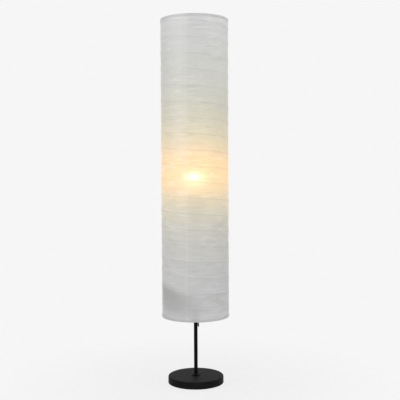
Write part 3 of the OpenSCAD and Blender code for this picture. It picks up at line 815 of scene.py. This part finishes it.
def lathe(profile, steps):
    """A closed outline of (radius, height) turned about the Z axis: each of its points makes
    a circle of that many steps. Faces look outwards where the outline runs anticlockwise."""
    angle = np.arange(steps) * FULL_TURN / steps
    points = in_space(profile[None, :, 0], angle[:, None], profile[None, :, 1]).reshape(-1, 3)
    count = len(profile)
    here = np.arange(steps)[:, None]
    there = (here + 1) % steps
    here, there = here * count, there * count
    low = np.arange(count)[None, :]
    high = (low + 1) % count
    quads = np.stack([here + low, there + low, there + high, here + high], -1)
    return points, quads.reshape(-1, 4).tolist()


def folded_edge(end_z, side):
    """Outline of the fold: up the outside, over the ring in a half ellipse and down inside,
    then back along the same line, set in by the paper's thickness."""
    middle = (FOLD_OUTER_R + FOLD_INNER_R) / 2
    reach = (FOLD_OUTER_R - FOLD_INNER_R) / 2
    turn = np.linspace(0.0, np.pi, BOW_POINTS)
    bow = np.stack([middle + reach * np.cos(turn), BOW_LOW + BOW_RISE * np.sin(turn)], -1)
    outer = np.concatenate([OUTER_LEG, bow, [(FOLD_INNER_R, -TUCK_DEPTH)]])
    inner = outer - (0.0, CROWN_THICK)
    leg = len(OUTER_LEG)
    inner[:leg, 0] -= LEG_THICK
    inner[leg:, 0] = middle + (inner[leg:, 0] - middle) * BOW_SHRINK
    outline = np.concatenate([outer, inner[::-1]])
    outline[:, 1] = end_z + side * outline[:, 1]
    return outline if side > 0 else outline[::-1]


def fold_piece(name, end_z, side, body):
    """The turned outline. Its strip map tells the paper's finish how high it is, and that
    it lies on a wire at the ring only."""
    points, faces = lathe(folded_edge(end_z, side), LATHE_STEPS)
    fold = put(name, points, faces, body, mulberry_paper)
    off_ring = 0.5 * smoothstep(np.abs(points[:, 2] - end_z), *RING_MARK)
    strip = np.stack([(HELIX_TOP_Z - points[:, 2]) / PITCH - off_ring, off_ring], -1)
    strip_layer = fold.data.uv_layers.new(name="strip")
    strip_layer.data.foreach_set("uv", strip[np.ravel(faces)].ravel())


fold_piece("upper_paper_fold", PAPER_TOP_Z, 1, "stand")
fold_piece("lower_paper_fold", PAPER_LOW_Z, -1, "shade_carrier")


# Carrier: a flat crossbar welded to the lower ring, on a black collar that slides on the
# pole. A small black lever with a cam turns on a plated pin in the collar's ears.
dress(zinc_plate, "bottom_crossbar", "lever_pin")
dress(tube_coat, "slide_collar", "clamp_lever")


# Bulb: an opal glass globe on an aluminium screw cap, lit. Inside it a clear glass stem
# carries the filament, and the cap ends in a black glass insulator with a tin contact.
NECK_Z, GLOBE_LOW_Z = 0.612, 0.655
NECK_LIGHT, GLOBE_LIGHT = (0.9, 0.55, 0.25, 1.0), (2.2, 1.75, 1.15, 1.0)
OPAL_TONES = (0.86, 0.85, 0.82, 1.0), (0.92, 0.91, 0.88, 1.0)
HEAT_TONES = (5.0, 3.2, 1.3, 1.0), (6.0, 4.2, 2.0, 1.0)
GLOBE_Z, GLOBE_WATTS = 0.662, 0.165
FILAMENT_Z, FILAMENT_WATTS = 0.670, 0.37
spun_aluminium = finish(
    "spun_aluminium",
    colour=(0.70, 0.70, 0.69),
    drift=(0.80, 0.80, 0.79),
    roughness=(0.22, 0.38),
    fineness=1300,
    relief=0.00002,
    metallic=1.0,
)


def opal_material():
    """White glass that glows, a little less at its neck. Rays from the lamp inside pass it."""
    material, tree, surface = blank_material("opal_glass")
    place = wire(tree, "TexCoord").outputs["Object"]
    height = wire(tree, "SeparateXYZ", {0: place}).outputs["Z"]
    above_neck = eased(tree, height, NECK_Z, GLOBE_LOW_Z)
    glass = wire(
        tree,
        "BsdfPrincipled",
        {
            "Base Color": colour_mix(tree, noise(tree, place, 60.0), *OPAL_TONES),
            "Roughness": 0.22,
            "Emission Color": colour_mix(tree, above_neck, NECK_LIGHT, GLOBE_LIGHT),
            "Emission Strength": 1.0,
        },
    )
    clear = wire(tree, "BsdfTransparent")
    shadow = wire(tree, "LightPath").outputs["Is Shadow Ray"]
    both = shader_mix(tree, shadow, glass.outputs[0], clear.outputs[0])
    tree.links.new(both, surface)
    return material


def glowing_wire_material():
    """Tungsten at yellow heat, brighter in fine specks."""
    material, tree, surface = blank_material("hot_tungsten")
    place = wire(tree, "TexCoord").outputs["Object"]
    metal = wire(
        tree,
        "BsdfPrincipled",
        {
            "Base Color": (0.5, 0.42, 0.28, 1.0),
            "Metallic": 1.0,
            "Roughness": 0.4,
            "Emission Color": colour_mix(tree, noise(tree, place, 900.0), *HEAT_TONES),
            "Emission Strength": 1.0,
        },
    )
    tree.links.new(metal.outputs[0], surface)
    return material


def clear_stem_material():
    """Clear soda glass of the stem, with a faint pull mark in its gloss."""
    material, tree, surface = blank_material("stem_glass")
    place = wire(tree, "TexCoord").outputs["Object"]
    glass = wire(
        tree,
        "BsdfPrincipled",
        {
            "Base Color": (0.95, 0.97, 0.97, 1.0),
            "Roughness": ramp(tree, noise(tree, place, 300.0), 0.0, 1.0, 0.02, 0.10),
            "Transmission Weight": 1.0,
            "IOR": 1.5,
        },
    )
    tree.links.new(glass.outputs[0], surface)
    return material


dress(opal_material(), "bulb_glass")
dress(glowing_wire_material(), "bulb_filament")
dress(clear_stem_material(), "bulb_stem")
dress(spun_aluminium, "bulb_cap", "bulb_contact")
dress(black_moulding, "bulb_insulator")


def bulb_lamp(name, watts, colour, radius, height):
    """A round lamp on the bulb's axis at that height."""
    data = bpy.data.lights.new(name, "POINT")
    data.energy = watts
    data.color = colour
    data.shadow_soft_size = radius
    lamp = bpy.data.objects.new(name, data)
    lamp.location = (0.0, 0.0, height)
    bpy.context.scene.collection.objects.link(lamp)


bulb_lamp("globe_light", GLOBE_WATTS, colour=(1.0, 0.80, 0.20), radius=0.030, height=GLOBE_Z)
bulb_lamp(
    "filament_light", FILAMENT_WATTS, colour=(1.0, 0.95, 0.86), radius=0.008, height=FILAMENT_Z
)
